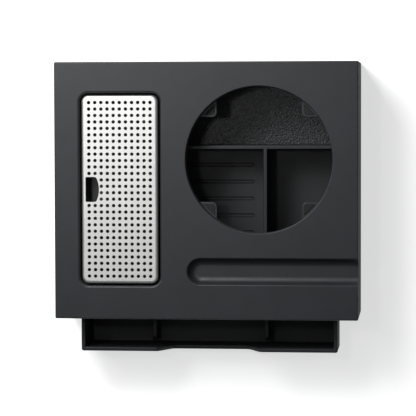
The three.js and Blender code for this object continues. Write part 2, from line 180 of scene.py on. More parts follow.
def edge_wear(tree: Tree, reach_mm: float, low: float, high: float) -> Socket:
    """Finds the outer edges of a piece, where handling polishes them.

    Args:
        tree: The material's node tree.
        reach_mm: How far from an edge the wear reaches.
        low: The bend between true and rounded normal at which wear starts.
        high: The bend at which the wear is full.

    Returns:
        A socket that is 0 on open faces and 1 on edges.
    """
    rounded = add_node(tree, "Bevel", {"Radius": reach_mm * MM}, samples=4).outputs[0]
    normals = {0: rounded, 1: add_node(tree, "NewGeometry").outputs["Normal"]}
    match = add_node(tree, "VectorMath", normals, operation="DOT_PRODUCT").outputs["Value"]
    bends = {"Value": match, "From Min": 1 - low, "From Max": 1 - high}
    return add_node(tree, "MapRange", bends, clamp=True).outputs["Result"]


@dataclass(frozen=True)
class MouldedAbs(Finish):
    """Black ABS moulded in a spark-eroded tool: matt, with a faint uneven sheen from the melt's flow."""

    deep: str = "15171b"
    light: str = "202329"
    roughness: float = 0.5
    side_roughness: float = 1.0  # walls drag on the tool as it opens, which dulls them
    uneven: float = 0.07
    spark_mm: float = 0.9  # real pits are 0.1 mm, drawn coarser so that they show
    spark_depth_mm: float = 0.035
    worn: str = "2e2f32"
    wear: float = 0.35
    cloud_mm: float = 38.0
    flow_mm: float = 26.0
    polish: float = 0.15  # how much smoother full wear makes an edge
    ior: float = 1.54

    def lay(self, tree: Tree, place: Socket) -> Sockets:
        """Lays cloudy colour, uneven roughness, spark pits and polished edges.

        Args:
            tree: The material's node tree.
            place: The object coordinates.

        Returns:
            What the Principled shader's sockets are given.
        """
        melt = {"Vector": place, "Scale": per_metre(self.cloud_mm), "Detail": 4.0, "Roughness": 0.6}
        clouds = add_node(tree, "TexNoise", melt).outputs["Fac"]
        tones = {0: clouds, 6: linear(self.deep), 7: linear(self.light)}
        tone = add_node(tree, "Mix", tones, data_type="RGBA").outputs[2]
        edges = {0: edge_wear(tree, 0.8, 0.02, 0.3), 1: self.wear}
        worn = add_node(tree, "Math", edges, operation="MULTIPLY").outputs[0]
        colours = {0: worn, 6: tone, 7: linear(self.worn)}
        colour = add_node(tree, "Mix", colours, data_type="RGBA").outputs[2]

        melt = {"Vector": place, "Scale": per_metre(self.flow_mm), "Detail": 6.0, "Roughness": 0.72}
        flow = {"Value": add_node(tree, "TexNoise", melt).outputs["Fac"], "From Min": 0.3, "From Max": 0.7}
        flow |= {"To Min": self.roughness - self.uneven, "To Max": self.roughness + self.uneven}
        sheen = add_node(tree, "MapRange", flow).outputs[0]
        normal = add_node(tree, "SeparateXYZ", {0: add_node(tree, "NewGeometry").outputs["Normal"]})
        upright = {"Value": normal.outputs["Z"], "From Min": 0.2, "From Max": 0.6}
        upright |= {"To Min": self.side_roughness - self.roughness, "To Max": 0.0}
        drag = {0: add_node(tree, "MapRange", upright).outputs[0], 1: sheen}
        dragged = add_node(tree, "Math", drag, operation="ADD").outputs[0]
        rub = {0: worn, 1: -self.polish, 2: dragged}
        rubbed = add_node(tree, "Math", rub, operation="MULTIPLY_ADD").outputs[0]

        spark = {"Vector": place, "Scale": per_metre(self.spark_mm), "Detail": 3.0, "Roughness": 0.65}
        pits = add_node(tree, "TexNoise", spark).outputs["Fac"]
        relief = {"Strength": 0.6, "Distance": self.spark_depth_mm * MM, "Height": pits}
        bump = add_node(tree, "Bump", relief).outputs["Normal"]
        return {"Base Color": colour, "Roughness": rubbed, "Normal": bump, "IOR": self.ior}


@dataclass(frozen=True)
class GrainedAbs(Finish):
    """Black ABS moulded against an etched leather grain: soft pebbles, with a painted highlight on their
    tops and painted shade in their creases.
    """

    pebble_mm: float = 2.1
    crease_mm: float = 0.28
    wrinkle_mm: float = 1.1
    wrinkle_share: float = 0.45  # of the height
    wander_mm: float = 3.5
    # a lighter colour for the pebbles' tops and a darker one for the creases: a painted highlight and
    # painted shade
    crown_painted_highlight: str = "32353a"
    crease_painted_shade: str = "0a0b0d"
    roughness: float = 0.37
    ior: float = 1.54

    def lay(self, tree: Tree, place: Socket) -> Sockets:
        """Lays pebbles between creases, bent by a slow wander, with finer wrinkles over them, and paints the
        pebbles' tops lighter and their creases darker as a painted highlight and painted shade.

        Args:
            tree: The material's node tree.
            place: The object coordinates.

        Returns:
            What the Principled shader's sockets are given.
        """
        slow = {"Vector": place, "Scale": per_metre(5.0), "Detail": 3.0}
        reach = (self.wander_mm * MM,) * 3
        shift = {0: add_node(tree, "TexNoise", slow).outputs["Color"], 1: reach, 2: place}
        bent = add_node(tree, "VectorMath", shift, operation="MULTIPLY_ADD").outputs[0]
        cells = {"Vector": bent, "Scale": per_metre(self.pebble_mm), "Smoothness": 0.35}
        pebbles = add_node(tree, "TexVoronoi", cells, feature="SMOOTH_F1").outputs["Distance"]
        fine = {"Vector": place, "Scale": per_metre(self.wrinkle_mm), "Detail": 4.0, "Roughness": 0.6}
        wrinkles = add_node(tree, "TexNoise", fine).outputs["Fac"]
        heights = {0: wrinkles, 1: self.wrinkle_share, 2: pebbles}
        height = add_node(tree, "Math", heights, operation="MULTIPLY_ADD").outputs[0]
        relief = {"Strength": 1.0, "Distance": self.crease_mm * MM, "Height": height}
        bump = add_node(tree, "Bump", relief, invert=True).outputs["Normal"]
        # painted highlight on the pebbles' tops and painted shade in their creases, the same under any light
        tones = {0: pebbles, 6: linear(self.crown_painted_highlight), 7: linear(self.crease_painted_shade)}
        tone = add_node(tree, "Mix", tones, data_type="RGBA").outputs[2]
        return {"Base Color": tone, "Roughness": self.roughness, "Normal": bump, "IOR": self.ior}


@dataclass(frozen=True)
class SatinStainless(Finish):
    """Stainless sheet, ground to a satin before it was punched: bright, with faint lengthwise lines."""

    bright: str = "e4e4e1"
    dull: str = "d6d6d5"
    roughness: float = 0.5
    line_mm: float = 0.5  # grinding lines are 0.05 mm apart, drawn coarser so that they show
    line_length_mm: float = 26.0
    line_depth_mm: float = 0.01
    mark_mm: float = 22.0

    def lay(self, tree: Tree, place: Socket) -> Sockets:
        """Lays grinding lines along Y, in the roughness and the bump, and faint water marks.

        Args:
            tree: The material's node tree.
            place: The object coordinates.

        Returns:
            What the Principled shader's sockets are given.
        """
        scale = (per_metre(self.line_mm), per_metre(self.line_length_mm), per_metre(4.0))
        along = add_node(tree, "Mapping", {0: place, "Scale": scale}).outputs[0]
        ground = {"Vector": along, "Scale": 1.0, "Detail": 4.0, "Roughness": 0.6}
        lines = add_node(tree, "TexNoise", ground).outputs["Fac"]
        water = {"Vector": place, "Scale": per_metre(self.mark_mm), "Detail": 3.0}
        marks = add_node(tree, "TexNoise", water).outputs["Fac"]
        tones = {0: marks, 6: linear(self.bright), 7: linear(self.dull)}
        tone = add_node(tree, "Mix", tones, data_type="RGBA").outputs[2]
        grind = {"Value": lines, "From Min": 0.3, "From Max": 0.7}
        grind |= {"To Min": self.roughness - 0.04, "To Max": self.roughness + 0.06}
        soft = add_node(tree, "MapRange", grind).outputs[0]
        relief = {"Strength": 0.25, "Distance": self.line_depth_mm * MM, "Height": lines}
        bump = add_node(tree, "Bump", relief).outputs["Normal"]
        return {"Base Color": tone, "Roughness": soft, "Normal": bump, "Metallic": 1.0}


@dataclass(frozen=True)
class ZincPlate(Finish):
    """Bright zinc plating on a steel screw: pale metal with a slight blue cast and dull spots."""

    bright: str = "c9cdd0"
    dull: str = "aab0b4"
    spot_mm: float = 1.6

    def lay(self, tree: Tree, place: Socket) -> Sockets:
        """Lays dull spots in the colour and the roughness.

        Args:
            tree: The material's node tree.
            place: The object coordinates.

        Returns:
            What the Principled shader's sockets are given.
        """
        cells = {"Vector": place, "Scale": per_metre(self.spot_mm), "Detail": 4.0}
        spots = add_node(tree, "TexNoise", cells).outputs["Fac"]
        tones = {0: spots, 6: linear(self.bright), 7: linear(self.dull)}
        tone = add_node(tree, "Mix", tones, data_type="RGBA").outputs[2]
        soft = add_node(tree, "MapRange", {"Value": spots, "To Min": 0.22, "To Max": 0.45}).outputs[0]
        bump = add_node(tree, "Bump", {"Strength": 0.2, "Distance": 0.02 * MM, "Height": spots})
        return {"Base Color": tone, "Roughness": soft, "Normal": bump.outputs["Normal"], "Metallic": 1.0}


@dataclass(frozen=True)
class MouldedRubber(Finish):
    """Black rubber moulded without polish: nearly no gloss, dusted grey where it is handled."""

    black: str = "111112"
    dusty: str = "1a1a1b"
    dust_mm: float = 3.0
    tooth_mm: float = 0.5
    ior: float = 1.52

    def lay(self, tree: Tree, place: Socket) -> Sockets:
        """Lays fine dust over a black body, with a fine tooth.

        Args:
            tree: The material's node tree.
            place: The object coordinates.

        Returns:
            What the Principled shader's sockets are given.
        """
        specks = {"Vector": place, "Scale": per_metre(self.dust_mm), "Detail": 5.0}
        dust = add_node(tree, "TexNoise", specks).outputs["Fac"]
        tones = {0: dust, 6: linear(self.black), 7: linear(self.dusty)}
        tone = add_node(tree, "Mix", tones, data_type="RGBA").outputs[2]
        rough = add_node(tree, "MapRange", {"Value": dust, "To Min": 0.72, "To Max": 0.9}).outputs[0]
        grain = {"Vector": place, "Scale": per_metre(self.tooth_mm), "Detail": 2.0}
        tooth = add_node(tree, "TexNoise", grain).outputs["Fac"]
        bump = add_node(tree, "Bump", {"Strength": 0.5, "Distance": 0.03 * MM, "Height": tooth})
        return {"Base Color": tone, "Roughness": rough, "Normal": bump.outputs["Normal"], "IOR": self.ior}


@dataclass(frozen=True)
class PaintedBoard(Finish):
    """A white light table under the station: clean and even, with a trace of roller texture."""

    white: str = "f4f4f4"
    lamp: str = "ffffff"
    glow: float = 0.6
    roller_mm: float = 3.0
    roughness: float = 0.9

    def lay(self, tree: Tree, place: Socket) -> Sockets:
        """Lays a faint roller texture on an even white that glows softly.

        Args:
            tree: The material's node tree.
            place: The object coordinates.

        Returns:
            What the Principled shader's sockets are given.
        """
        nap = {"Vector": place, "Scale": per_metre(self.roller_mm), "Detail": 3.0}
        roller = add_node(tree, "TexNoise", nap).outputs["Fac"]
        bump = add_node(tree, "Bump", {"Strength": 0.1, "Distance": 0.05 * MM, "Height": roller})
        shine = {"Emission Color": linear(self.lamp), "Emission Strength": self.glow}
        table = {"Base Color": linear(self.white), "Roughness": self.roughness}
        return table | shine | {"Normal": bump.outputs["Normal"]}


HOUSING_ABS = MouldedAbs("housing_spark_eroded_abs", "housing_plastic")
# the drawer's plastic is coloured darker than the housing's as painted shade for its inside, which lies
# under the panel; its lit rim gets the same darker colour
DRAWER_ABS_PAINTED_SHADE = MouldedAbs(
    "drawer_abs_painted_shade", "drawer_plastic", "0d1013", "13161b", 0.54, 0.85, 0.04, 0.7, 0.012, "2a2b2d", 0.3
)
PAN_ABS = MouldedAbs(
    "pan_satin_abs", "pan_plastic", "121314", "17181a", 0.4, 0.6, 0.05, 0.7, 0.01, "252628", 0.3
)
RUNNER_ACETAL = MouldedAbs(
    "runner_grey_acetal", "runner_plastic", "3d3f41", "47494b", 0.38, 0.5, 0.04, 0.8, 0.01, "5a5c5e", 0.3
)
BASE_ABS = GrainedAbs("base_leather_grain_abs", "grained_plastic")
STAINLESS = SatinStainless("grid_satin_stainless", "stainless")
ZINC = ZincPlate("screw_bright_zinc", "zinc")
RUBBER = MouldedRubber("pad_and_foot_rubber", "rubber")
BOARD = PaintedBoard("studio_white_board", "")


# ---- Outlines ----


class Outline(ABC):
    """A closed flat curve, anticlockwise, that can be drawn a little larger or smaller."""

    @abstractmethod
    def loop(self, growth: float = 0.0) -> list[Point]:
        """Gives the curve's points, moved outwards by growth.

        Args:
            growth: How far the curve moves outwards.

        Returns:
            The points.
        """


@dataclass(frozen=True)
class RoundedRect(Outline):
    """A rectangle with rounded corners."""

    width: float
    depth: float
    corner: float
    x: float = 0.0
    y: float = 0.0
    steps: int = 8

    def loop(self, growth: float = 0.0) -> list[Point]:
        """Gives the points, with the corners' radius growing with the rectangle.

        Args:
            growth: How far the curve moves outwards.

        Returns:
            The points.
        """
        radius = max(self.corner + growth, 0.15)
        half_x = self.width / 2 + growth - radius
        half_y = self.depth / 2 + growth - radius
        points: list[Point] = []
        for corner, (sx, sy) in enumerate(((1, 1), (-1, 1), (-1, -1), (1, -1))):
            for step in range(self.steps + 1):
                angle = (corner + step / self.steps) * math.pi / 2
                x = self.x + sx * half_x + radius * math.cos(angle)
                points.append((x, self.y + sy * half_y + radius * math.sin(angle)))
        return points


@dataclass(frozen=True)
class Circle(Outline):
    """A circle."""

    radius: float
    x: float = 0.0
    y: float = 0.0
    sides: int = 32

    def loop(self, growth: float = 0.0) -> list[Point]:
        """Gives the points of a circle whose radius has grown.

        Args:
            growth: How far the curve moves outwards.

        Returns:
            The points.
        """
        radius = max(self.radius + growth, 0.05)
        turns = (2 * math.pi * i / self.sides for i in range(self.sides))
        return [(self.x + radius * math.cos(t), self.y + radius * math.sin(t)) for t in turns]


@dataclass(frozen=True)
class Drawn(Outline):
    """An outline drawn point by point, which grows by moving each side outwards."""

    points: tuple[Point, ...]

    def loop(self, growth: float = 0.0) -> list[Point]:
        """Gives the points, each moved so that both its sides move out by growth.

        Args:
            growth: How far the curve moves outwards.

        Returns:
            The points.
        """
        if growth == 0:
            return list(self.points)
        moved: list[Point] = []
        count = len(self.points)
        for i, (x, y) in enumerate(self.points):
            before = Vector((x, y)) - Vector(self.points[i - 1])
            after = Vector(self.points[(i + 1) % count]) - Vector((x, y))
            first = Vector((before.y, -before.x)).normalized()
            second = Vector((after.y, -after.x)).normalized()
            both = first + second
            shift = both * (2 * growth / max(both.length_squared, 0.5))
            moved.append((x + shift.x, y + shift.y))
        return moved


def arc(x: float, y: float, radius: float, start: float, end: float, steps: int = 6) -> list[Point]:
    """Gives points along an arc.

    Args:
        x: The centre's first coordinate.
        y: The centre's second coordinate.
        radius: The arc's radius.
        start: The first angle, in degrees.
        end: The last angle, in degrees.
        steps: How many straight pieces make the arc.

    Returns:
        The points, from the first angle to the last.
    """
    turns = (math.radians(start + (end - start) * i / steps) for i in range(steps + 1))
    return [(x + radius * math.cos(t), y + radius * math.sin(t)) for t in turns]


def fillet_up(growth: float, level: float, radius: float, top: float, steps: int = 8) -> list[Point]:
    """Gives the profile of a rounded lower corner, from its lowest point up to a level.

    Args:
        growth: The growth of the arc's centre.
        level: The level of the arc's centre.
        radius: The arc's radius.
        top: The level at which it stops, at or below its centre.
        steps: How many straight pieces make the arc.

    Returns:
        The (growth, level) pairs.
    """
    end = 360 + math.degrees(math.asin((top - level) / radius))
    return arc(growth, level, radius, 270, end, steps)


def bend(low: Point, high: Point, steps: int) -> list[Point]:
    """Gives an S-shaped curve between two points, level at both ends.

    Args:
        low: Where the curve starts.
        high: Where it ends.
        steps: How many straight pieces make the curve.

    Returns:
        The points, both ends included.
    """
    shares = (i / steps for i in range(steps + 1))
    return [
        (low[0] + (high[0] - low[0]) * s, low[1] + (high[1] - low[1]) * s * s * (3 - 2 * s)) for s in shares
    ]


# ---- Solids ----


class Lie(Enum):
    """How an outline lies in the object, and which way its levels go."""

    FLAT = Matrix(((1, 0, 0), (0, 1, 0), (0, 0, 1)))
    FACING = Matrix(((1, 0, 0), (0, 0, 1), (0, 1, 0)))
    ACROSS = Matrix(((0, 0, 1), (1, 0, 0), (0, 1, 0)))


class Cut(Enum):
    """What a tool does to a solid."""

    REMOVE = "DIFFERENCE"
    JOIN = "UNION"
    KEEP = "INTERSECT"


def from_bmesh(name: str, shape: bmesh.types.BMesh) -> Piece:
    """Makes an object of a bmesh in millimetres, with its faces out, and frees the bmesh.

    Args:
        name: The object's name.
        shape: The bmesh.

    Returns:
        The object, linked to the scene.
    """
    bmesh.ops.recalc_face_normals(shape, faces=shape.faces)
    bmesh.ops.scale(shape, vec=(MM, MM, MM), verts=shape.verts)
    mesh = bpy.data.meshes.new(name)
    shape.to_mesh(mesh)
    shape.free()
    made = bpy.data.objects.new(name, mesh)
    bpy.context.scene.collection.objects.link(made)
    return made


def lofted(name: str, outlines: Iterable[Outline], profile: Profile, lie: Lie = Lie.FLAT) -> Piece:
    """Makes one solid for each outline by growing it along a profile of levels.

    Args:
        name: The new object's name.
        outlines: The outlines, each the start of a solid of its own.
        profile: (growth, level) pairs. A profile that turns back inside itself makes a tray.
        lie: How the outlines lie.

    Returns:
        One object that holds all the solids.
    """
    shape = bmesh.new()
    for outline in outlines:
        rings = []
        for growth, level in profile:
            places = (lie.value @ Vector((u, v, level)) for u, v in outline.loop(growth))
            rings.append([shape.verts.new(place) for place in places])
        count = len(rings[0])
        for ring, above in zip(rings, rings[1:]):
            for i in range(count):
                j = (i + 1) % count
                shape.faces.new((ring[i], ring[j], above[j], above[i]))
        shape.faces.new(reversed(rings[0]))
        shape.faces.new(rings[-1])
    return from_bmesh(name, shape)


def slab(growth: float, low: float, high: float, round_low: float = 0.0, round_high: float = 0.0) -> Profile:
    """Gives the profile of a plate whose two rims are rounded.

    Args:
        growth: The growth of its sides.
        low: The lower level.
        high: The upper level.
        round_low: The radius of the rim at the lower level.
        round_high: The radius of the rim at the upper level.

    Returns:
        The (growth, level) pairs.
    """
    under, over = [(growth, low)], [(growth, high)]
    if round_low:
        under = arc(growth - round_low, low + round_low, round_low, 270, 360, 4)
    if round_high:
        over = arc(growth - round_high, high - round_high, round_high, 0, 90, 5)
    return [*under, *over]


def flared(low: float, high: float, flare_low: float = 0.0, flare_high: float = 0.0) -> Profile:
    """Gives the profile of a cutter that leaves rounded rims where it enters and leaves a wall.

    Args:
        low: The wall's lower face.
        high: The wall's upper face.
        flare_low: The radius of the rim that it leaves at the lower face.
        flare_high: The radius of the rim that it leaves at the upper face.

    Returns:
        The (growth, level) pairs, which run on past both faces.
    """
    enter: list[Point] = [(0.0, low - SUNK)]
    if flare_low:
        enter = [(flare_low, low - SUNK), *arc(flare_low, low + flare_low, flare_low, 270, 180, 5)]
    leave: list[Point] = [(0.0, high + SUNK)]
    if flare_high:
        leave = [*arc(flare_high, high - flare_high, flare_high, 180, 90, 5), (flare_high, high + SUNK)]
    return [*enter, *leave]


def worked(body: Piece, how: Cut, *tools: Piece) -> Piece:
    """Cuts, joins or trims a solid with each tool in turn, and deletes the tools.

    Args:
        body: The solid to work on.
        how: What the tools do.
        tools: The tools.

    Returns:
        The same body, with its new mesh.
    """
    for tool in tools:
        step = body.modifiers.new("work", "BOOLEAN")
        step.operation = how.value
        step.solver = "EXACT"
        step.object = tool
        graph = bpy.context.evaluated_depsgraph_get()
        result = bpy.data.meshes.new_from_object(body.evaluated_get(graph))
        body.modifiers.clear()
        old = body.data
        body.data = result
        bpy.data.meshes.remove(old)
        used = tool.data
        bpy.data.objects.remove(tool)
        bpy.data.meshes.remove(used)
    return body


def polished(piece: Piece) -> Piece:
    """Cleans a solid and shades it smooth, with creases kept and large faces flat.

    Args:
        piece: The solid.

    Returns:
        The same piece.
    """
    shape = bmesh.new()
    shape.from_mesh(piece.data)
    bmesh.ops.remove_doubles(shape, verts=shape.verts, dist=MERGE * MM)
    bmesh.ops.dissolve_degenerate(shape, edges=shape.edges, dist=MERGE * MM)
    for face in shape.faces:
        face.smooth = True
    shape.to_mesh(piece.data)
    shape.free()
    piece.data.set_sharp_from_angle(angle=math.radians(CREASE))
    weigh = piece.modifiers.new("flat_faces_lead", "WEIGHTED_NORMAL")
    weigh.keep_sharp = True
    weigh.weight = FLAT_WEIGHT
    return piece


# ---- The frame's places ----


@dataclass(frozen=True)
class Place:
    """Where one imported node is, in millimetres."""

    low: Vector
    high: Vector

    @classmethod
    def of(cls, node: str) -> Place:
        """Reads a node's place from the frame."""
        low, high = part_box(node)
        return cls(low / MM, high / MM)

    @property
    def middle(self) -> Vector:
        """The middle of the node's box."""
        return (self.low + self.high) / 2

    @property
    def size(self) -> Vector:
        """The node's width, depth and height."""
        return self.high - self.low

    def plan(self, corner: float, growth: float = 0.0, steps: int = 8) -> RoundedRect:
        """Gives the node's box from above as a rounded rectangle.

        Args:
            corner: The corners' radius.
            growth: How much larger than the node it is on every side.
            steps: How many straight pieces make a corner.

        Returns:
            The outline.
        """
        wide, deep = self.size.x + 2 * growth, self.size.y + 2 * growth
        return RoundedRect(wide, deep, corner, self.middle.x, self.middle.y, steps)


def places(prefix: str, count: int) -> list[Place]:
    """Gives the places of a set of numbered nodes."""
    return [Place.of(f"{prefix}_{i}") for i in range(1, count + 1)]


def rounds(name: str, spots: Iterable[Place], radius: float, sides: int, profile: Profile) -> Piece:
    """Makes a round solid over the middle of each of several places.

    Args:
        name: The new object's name.
        spots: The places.
        radius: The solids' radius.
        sides: How many sides each has.
        profile: The solids' (growth, level) pairs.

    Returns:
        One object that holds all the solids.
    """
    return lofted(name, [Circle(radius, s.middle.x, s.middle.y, sides) for s in spots], profile)


@dataclass(frozen=True)
class RoundSeat:
    """The round opening for a kettle's base, with the four tabs that carry it."""

    radius: float = 73.25
    collar: float = 2.5
    tab_reach: float = 30.75
    tab_corner: float = 5.0
    tab_thickness: float = 3.0
    pad_border: float = 2.0
    pad_recess: float = 0.6
    tab_top: float = 80.5

    @property
    def centre(self) -> Vector:
        """The seat's centre, which is the middle of its four pads."""
        pads = [pad.middle for pad in places("seat_pad", 4)]
        return sum(pads, Vector()) / len(pads)

    def tab(self, quarter: int, border: float, outer: float) -> Drawn:
        """Draws one tab between the circle and two crossing channels.

        Args:
            quarter: Which quarter the tab is in, from 0 to 3, anticlockwise from the back right.
            border: How far the outline is drawn in.
            outer: The radius that it reaches out to, before the border.

        Returns:
            The outline.
        """
        radius = outer - border
        line = self.radius - self.tab_reach + border
        corner = max(self.tab_corner - border, 0.5)
        end = math.degrees(math.acos(line / radius))
        start = [
            *arc(0, 0, radius, 90 - end, end, 14),
            *arc(line + corner, line + corner, corner, 180, 270, 7),
        ]
        turn = Matrix.Rotation(quarter * math.pi / 2, 2)
        turned = [turn @ Vector(p) for p in start]
        return Drawn(tuple((self.centre.x + p.x, self.centre.y + p.y) for p in turned))


# ---- Sub-assemblies ----


@dataclass
class SubAssembly(ABC):
    """Pieces that are built and dressed together and ride on one body."""

    body: str
    finish: Finish

    @abstractmethod
    def build(self) -> Pieces:
        """Builds the meshes.

        Returns:
            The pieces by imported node.
        """

    def dress(self, pieces: Pieces) -> None:
        """Gives each piece its finish and its place in the frame.

        Args:
            pieces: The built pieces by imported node.
        """
        for node, piece in pieces.items():
            polished(piece)
            piece.data.materials.clear()
            piece.data.materials.append(self.finish.material())
            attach(piece, self.body)
            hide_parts(node)


@dataclass
class Housing(SubAssembly):
    """The one-piece moulding: panel, walls, well, seat, spoon channel and drawer opening."""

    body: str = "cabinet"
    finish: Finish = HOUSING_ABS
    seat: RoundSeat = field(default_factory=RoundSeat)
    wall: float = 3.0
    corner: float = 1.6
    top_edge: float = 1.3
    bottom_edge: float = 0.5
    inner_edge: float = 1.2
    well_clearance: float = 5.0
    well_wall: float = 2.5
    well_depth: float = 17.5
    well_corner: float = 9.0
    well_rim: float = 2.5
    channel_length: float = 170.5
    channel_width: float = 25.5
    channel_depth: float = 8.5
    channel_round: float = 7.5
    channel_wall: float = 2.5
    channel_rim: float = 1.5
    door_gap: float = 1.5
    flange: float = 4.0
    post_radius: float = 4.0
    cable_width: float = 14.0
    cable_height: float = 11.0
    channel_share: float = 0.3  # of the free depth, between the seat and the channel
    well_round: float = 3.0
    tub_round: float = 2.0
    seat_edge: float = 1.1
    collar_round: float = 0.6
    door_corner: float = 1.2
    door_edge: float = 0.7
    flange_corner: float = 0.8
    flange_edge: float = 0.5
    flange_play: float = 0.5
    cable_corner: float = 3.0
    cable_edge: float = 0.6
    hidden_edge: float = 0.3  # of the walls' openings, on the inside
    below: float = 10.0  # how far the walls' openings are cut on under the walls
    post_draft: float = 0.6
    bore: float = 1.4
    bore_lead: float = 0.5
    bore_depth: float = 12.0

    def build(self) -> Pieces:
        """Builds the shell, joins its fittings and cuts its openings.

        Returns:
            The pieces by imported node.
        """
        place = Place.of("housing")
        outside = slab(0.0, place.low.z, place.high.z, self.bottom_edge, self.top_edge)
        shell = lofted("housing_shell", [place.plan(self.corner)], outside)
        panel = place.high.z - self.wall
        hollow = slab(-self.wall, place.low.z - SUNK, panel, 0.0, self.inner_edge)
        worked(shell, Cut.REMOVE, lofted("hollow", [place.plan(self.corner)], hollow))
        worked(shell, Cut.JOIN, *self.fittings(place, panel))
        worked(shell, Cut.REMOVE, *self.openings(place))
        worked(shell, Cut.JOIN, self.tabs())
        worked(shell, Cut.REMOVE, self.pad_recesses())
        return {"housing": shell}

    @property
    def well(self) -> RoundedRect:
        """The well's outline, which is the pan's with its clearance."""
        return Place.of("drip_pan").plan(self.well_corner, self.well_clearance, 12)

    def channel(self, place: Place) -> RoundedRect:
        """The spoon channel's outline, which runs on past the right side.

        Args:
            place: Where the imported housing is.

        Returns:
            The outline.
        """
        seat = self.seat.centre
        free = place.size.y - 2 * self.seat.radius - self.channel_width
        y = seat.y - self.seat.radius - self.channel_share * free - self.channel_width / 2
        run = self.channel_length + self.channel_width
        x = place.high.x - self.channel_length + run / 2
        return RoundedRect(run, self.channel_width, self.channel_width / 2 - 0.01, x, y, 16)

    def fittings(self, place: Place, panel: float) -> Iterable[Piece]:
        """Makes what hangs under the panel: the well, the trough, the seat's collar and the posts.

        Args:
            place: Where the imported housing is.
            panel: The level of the panel's underside.

        Returns:
            The solids, one by one.
        """
        top = place.high.z
        seat = self.seat.centre
        well_floor = top - self.well_depth
        under = slab(self.well_wall, well_floor - self.well_wall, panel + SUNK, self.tub_round)
        yield lofted("well_tub", [self.well], under)

        floor = top - self.channel_depth
        around, thick = self.channel_round, self.channel_round + self.channel_wall
        outside = fillet_up(-around, floor + around, thick, panel + SUNK)
        trough = lofted("channel_trough", [self.channel(place)], outside)
        inside = place.plan(self.corner)
        yield worked(trough, Cut.KEEP, lofted("inside", [inside], [(-SUNK, 0.0), (-SUNK, top)]))

        collar = Circle(self.seat.radius + self.seat.collar, seat.x, seat.y, 128)
        foot = self.seat.tab_top - self.seat.tab_thickness
        yield lofted("seat_collar", [collar], slab(0.0, foot, panel + SUNK, self.collar_round))

        post = [(0.0, self.post_foot()), (self.post_draft, panel + SUNK)]
        yield rounds("screw_posts", places("base_screw", 6), self.post_radius, 24, post)

    def post_foot(self) -> float:
        """Gives the level at which the posts end, just above the base plate."""
        return Place.of("base_plate").high.z + TOUCH

    def openings(self, place: Place) -> Iterable[Piece]:
        """Makes the cutters for the well, the channel, the seat, the drawer, the cable and the screws.

        Args:
            place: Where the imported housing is.

        Returns:
            The cutters, one by one.
        """
        top, front, back = place.high.z, place.low.y, place.high.y
        floor, bend_in = top - self.well_depth, self.well_round
        inner_corner = arc(-bend_in, floor + bend_in, bend_in, 270, 360)
        well = [*inner_corner, *flared(floor, top, 0.0, self.well_rim)[1:]]
        yield lofted("well_cut", [self.well], well)

        low = top - self.channel_depth
        around, rim = self.channel_round, self.channel_rim
        trough = fillet_up(-around, low + around, around, top - rim, 10)
        yield lofted("channel_cut", [self.channel(place)], [*trough, *flared(low, top, 0.0, rim)[2:]])

        seat = self.seat
        circle = Circle(seat.radius, seat.centre.x, seat.centre.y, 160)
        foot = seat.tab_top - seat.tab_thickness
        yield lofted("seat_cut", [circle], flared(foot, top, 0.5, self.seat_edge))

        drawer = Place.of("drawer")
        inner = front + self.wall
        half = drawer.size.x / 2 - self.flange + self.door_gap
        bottom = place.low.z - self.below
        door_top = drawer.high.z + self.door_gap
        way_top = drawer.low.z + 2 * self.door_gap + self.flange_play
        notch_top = self.post_foot() - TOUCH + self.cable_height
        door = flared(front, inner, self.door_edge, self.hidden_edge)
        way = flared(front, inner, self.flange_edge, self.hidden_edge)
        notch = flared(back - self.wall, back, self.hidden_edge, self.cable_edge)
        for name, wide, high, corner, x, steps, through in (
            ("door_cut", 2 * half, door_top, self.door_corner, 0.0, 6, door),
            ("flange_cut", 2 * (half + self.flange), way_top, self.flange_corner, 0.0, 4, way),
            ("cable_cut", self.cable_width, notch_top, self.cable_corner, seat.centre.x, 8, notch),
        ):
            outline = RoundedRect(wide, high - bottom, corner, x, (high + bottom) / 2, steps)
            yield lofted(name, [outline], through, Lie.FACING)

        foot, lead = self.post_foot(), self.bore_lead
        drill = [(lead, foot - SUNK), (lead, foot), (0.0, foot + lead), (0.0, foot + self.bore_depth)]
        yield rounds("post_bores", places("base_screw", 6), self.bore, 16, drill)

    def tabs(self) -> Piece:
        """Makes the four tabs, with rounded rims, sunk into the collar.

        Returns:
            The tabs.
        """
        seat = self.seat
        outlines = [seat.tab(q, 0.0, seat.radius + seat.collar / 2) for q in range(4)]
        tab = slab(0.0, seat.tab_top - seat.tab_thickness, seat.tab_top, 0.5, 0.6)
        return lofted("seat_tabs", outlines, tab)

    def pad_recesses(self) -> Piece:
        """Makes the cutter for the shallow beds that the pads are stuck into.

        Returns:
            The cutter.
        """
        seat = self.seat
        outlines = [seat.tab(q, seat.pad_border, seat.radius) for q in range(4)]
        bed = seat.tab_top - seat.pad_recess
        return lofted("pad_beds", outlines, [(0.0, bed), (0.0, seat.tab_top + SUNK)])


@dataclass
class SeatPads(SubAssembly):
    """The four anti-slip pads on the seat's tabs."""

    body: str = "cabinet"
    finish: Finish = RUBBER
    seat: RoundSeat = field(default_factory=RoundSeat)

    def build(self) -> Pieces:
        """Builds each pad with a rounded rim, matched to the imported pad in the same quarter.

        Returns:
            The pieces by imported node.
        """
        pieces = {}
        for i, place in enumerate(places("seat_pad", 4)):
            outline = self.seat.tab(i, self.seat.pad_border + TOUCH / 2, self.seat.radius)
            pad = slab(0.0, place.low.z, place.high.z, 0.0, 0.5)
            pieces[f"seat_pad_{i + 1}"] = lofted(f"seat_pad_rubber_{i + 1}", [outline], pad)
        return pieces


